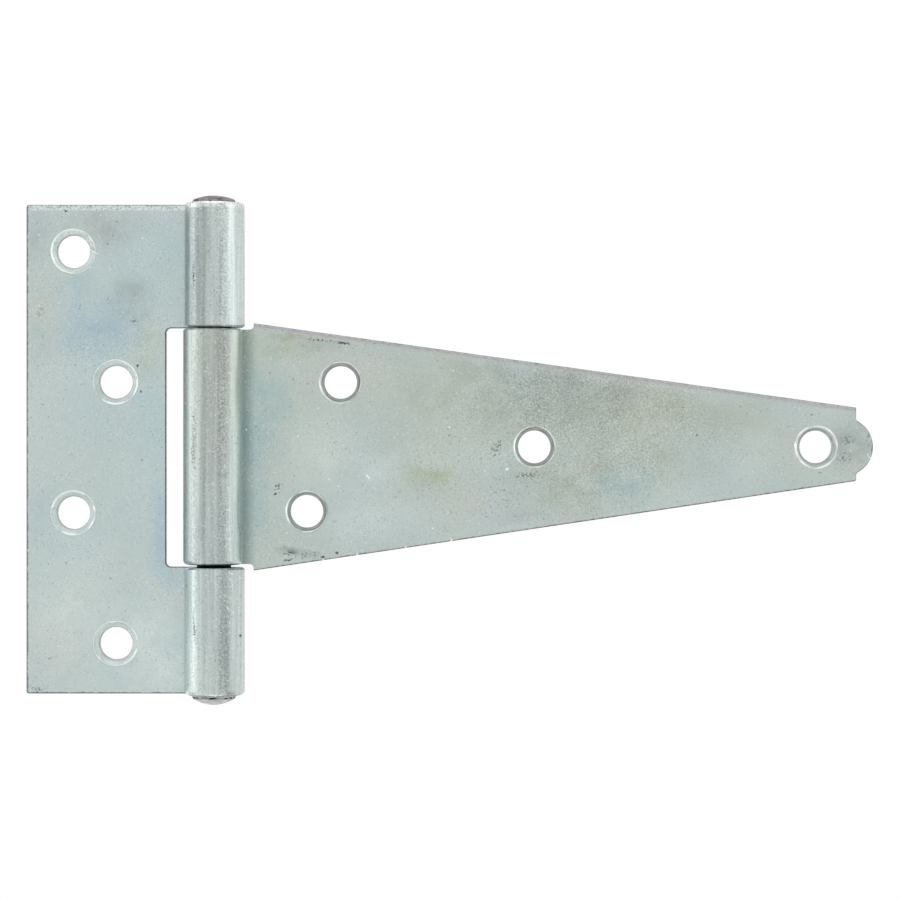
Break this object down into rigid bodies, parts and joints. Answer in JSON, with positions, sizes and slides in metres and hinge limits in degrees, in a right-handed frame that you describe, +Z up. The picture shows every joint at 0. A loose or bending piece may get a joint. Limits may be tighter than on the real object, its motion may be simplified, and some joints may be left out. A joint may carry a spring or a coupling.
{
  "type": "tee hinge",
  "caption": "Tee hinge: a notched plate leaf and a long tapered strap leaf, rolled round one headed pin so that the strap swings, with countersunk screw holes in both leaves.",
  "frame": {"origin": "on the mounting plane, the plane of both leaves' backs, straight behind the middle of the pin: the point where the strap's flat back leaves the roll, at the middle of the plate's notch", "axes": "+Z up along the pin, +X along the strap to its tip, +Y out of the backs into the surface the hinge is screwed to, so the barrel and the countersinks face -Y"},
  "size_m": [0.1961, 0.0142, 0.1173],
  "materials": {
    "plate_zinc": "bright zinc plate, satin, cool grey with faint blue clouds",
    "strap_zinc": "bright zinc plate, satin, grey-green with fine dark grain",
    "pin_zinc": "zinc plate dulled by heading, darker on top"
  },
  "bodies": {
    "plate": {"plate_leaf": "plate_zinc", "hinge_pin": "pin_zinc"},
    "strap": {"strap_leaf": "strap_zinc"}
  },
  "joints": [
    {"name": "strap_swing", "type": "hinge", "parent": "plate", "child": "strap", "pos_m": [0, -0.0071, 0], "axis": [0, 0, -1], "range_deg": [-102, 190]}
  ]
}
